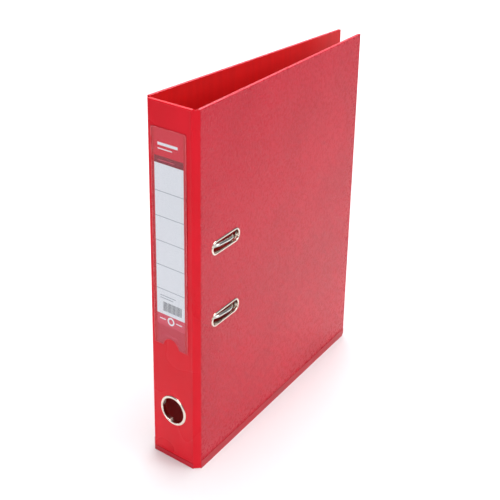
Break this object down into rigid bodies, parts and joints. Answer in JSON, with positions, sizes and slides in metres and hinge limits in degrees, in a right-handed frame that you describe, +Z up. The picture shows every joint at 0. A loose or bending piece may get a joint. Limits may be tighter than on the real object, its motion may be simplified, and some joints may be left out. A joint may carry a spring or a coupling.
{
  "type": "lever arch file",
  "caption": "Upright red lever arch file with a lever-operated two-ring mechanism, slotted hinged cover, spine finger ring and sliding spine label.",
  "frame": {"origin": "middle of the spine's outer face, on the surface the file stands on", "axes": "+X from the spine to the fore edge, +Y towards the back cover that carries the mechanism, +Z up"},
  "size_m": [0.2858, 0.0583, 0.345],
  "materials": {
    "red_foil": "embossed satin polypropylene foil",
    "hinge_foil": "welded polypropylene foil",
    "red_liner": "matt foil",
    "edge_rail": "enamelled thin steel edging read as glossy red",
    "grey_board": "raw grey board",
    "eyelet_nickel": "bright nickel plate",
    "plated_sheet": "nickel plated pressed sheet",
    "plated_wire": "bright nickel plated wire",
    "rivet_steel": "turned steel",
    "spring_steel": "blued spring steel",
    "grip_plastic": "black moulded plastic",
    "clear_film": "clear plastic film",
    "label_paper": "printed card"
  },
  "bodies": {
    "back_cover": {"back_cover_foil": "red_foil", "back_cover_board": "grey_board", "back_cover_liner": "red_liner", "back_cover_rail": "edge_rail", "base_plate": "plated_sheet", "upper_post": "plated_wire", "lower_post": "plated_wire", "base_plate_rivets": "rivet_steel", "rivet_caps": "rivet_steel", "lever_pin": "rivet_steel", "leaf_spring": "spring_steel", "spring_rivet": "rivet_steel"},
    "spine": {"spine_foil": "red_foil", "spine_board": "grey_board", "spine_liner": "red_liner", "spine_rail": "edge_rail", "finger_ring": "eyelet_nickel", "finger_ring_clinch_plate": "eyelet_nickel", "label_pocket": "clear_film", "front_hinge_strip": "hinge_foil", "back_hinge_strip": "hinge_foil"},
    "front_cover": {"front_cover_foil": "red_foil", "front_cover_board": "grey_board", "front_cover_liner": "red_liner", "front_cover_rail": "edge_rail", "upper_slot_eyelet": "eyelet_nickel", "upper_slot_clinch_plate": "eyelet_nickel", "lower_slot_eyelet": "eyelet_nickel", "lower_slot_clinch_plate": "eyelet_nickel"},
    "arches": {"arch_shaft": "plated_wire", "upper_arch": "plated_wire", "lower_arch": "plated_wire", "arch_crank": "plated_sheet"},
    "lever": {"lever_arm": "plated_sheet", "lever_grip": "grip_plastic", "roller_pin": "rivet_steel"},
    "roller": {"pressure_roller": "rivet_steel"},
    "clamp": {"clamp_bar": "plated_sheet"},
    "latch": {"clamp_latch": "plated_sheet"},
    "label": {"label_card": "label_paper"}
  },
  "joints": [
    {"name": "spine_hinge", "type": "hinge", "parent": "back_cover", "child": "spine", "pos_m": [0.00146, 0.02704, 0], "axis": [0, 0, -1], "range_deg": [0, 90], "deforming": ["back_hinge_strip"]},
    {"name": "front_hinge", "type": "hinge", "parent": "spine", "child": "front_cover", "pos_m": [0.00146, -0.02704, 0], "axis": [0, 0, -1], "range_deg": [0, 95], "deforming": ["front_hinge_strip"]},
    {"name": "arches_swing", "type": "hinge", "parent": "back_cover", "child": "arches", "pos_m": [0.025, 0.0207, 0.1788], "axis": [0, 0, -1], "range_deg": [0, 36], "deforming": ["leaf_spring"]},
    {"name": "lever_lift", "type": "hinge", "parent": "back_cover", "child": "lever", "pos_m": [0.034, 0.0137, 0.1788], "axis": [0, 0, -1], "range_deg": [0, 77]},
    {"name": "roller_spin", "type": "hinge", "parent": "lever", "child": "roller", "pos_m": [0.0345, 0.0194, 0.1788], "axis": [0, 0, 1], "continuous": true},
    {"name": "clamp_slide", "type": "slide", "parent": "back_cover", "child": "clamp", "axis": [0, -1, 0], "range_m": [0, 0.02]},
    {"name": "latch_slide", "type": "slide", "parent": "clamp", "child": "latch", "axis": [0, 0, 1], "range_m": [0, 0.0015], "stiffness_N_per_m": 300},
    {"name": "label_pull", "type": "slide", "parent": "spine", "child": "label", "axis": [0, 0, -1], "range_m": [0, 0.05]}
  ],
  "couplings": [
    {"joint": "arches_swing", "follows": "front_hinge", "ratio": 0.33},
    {"joint": "lever_lift", "follows": "front_hinge", "ratio": 0.8}
  ]
}
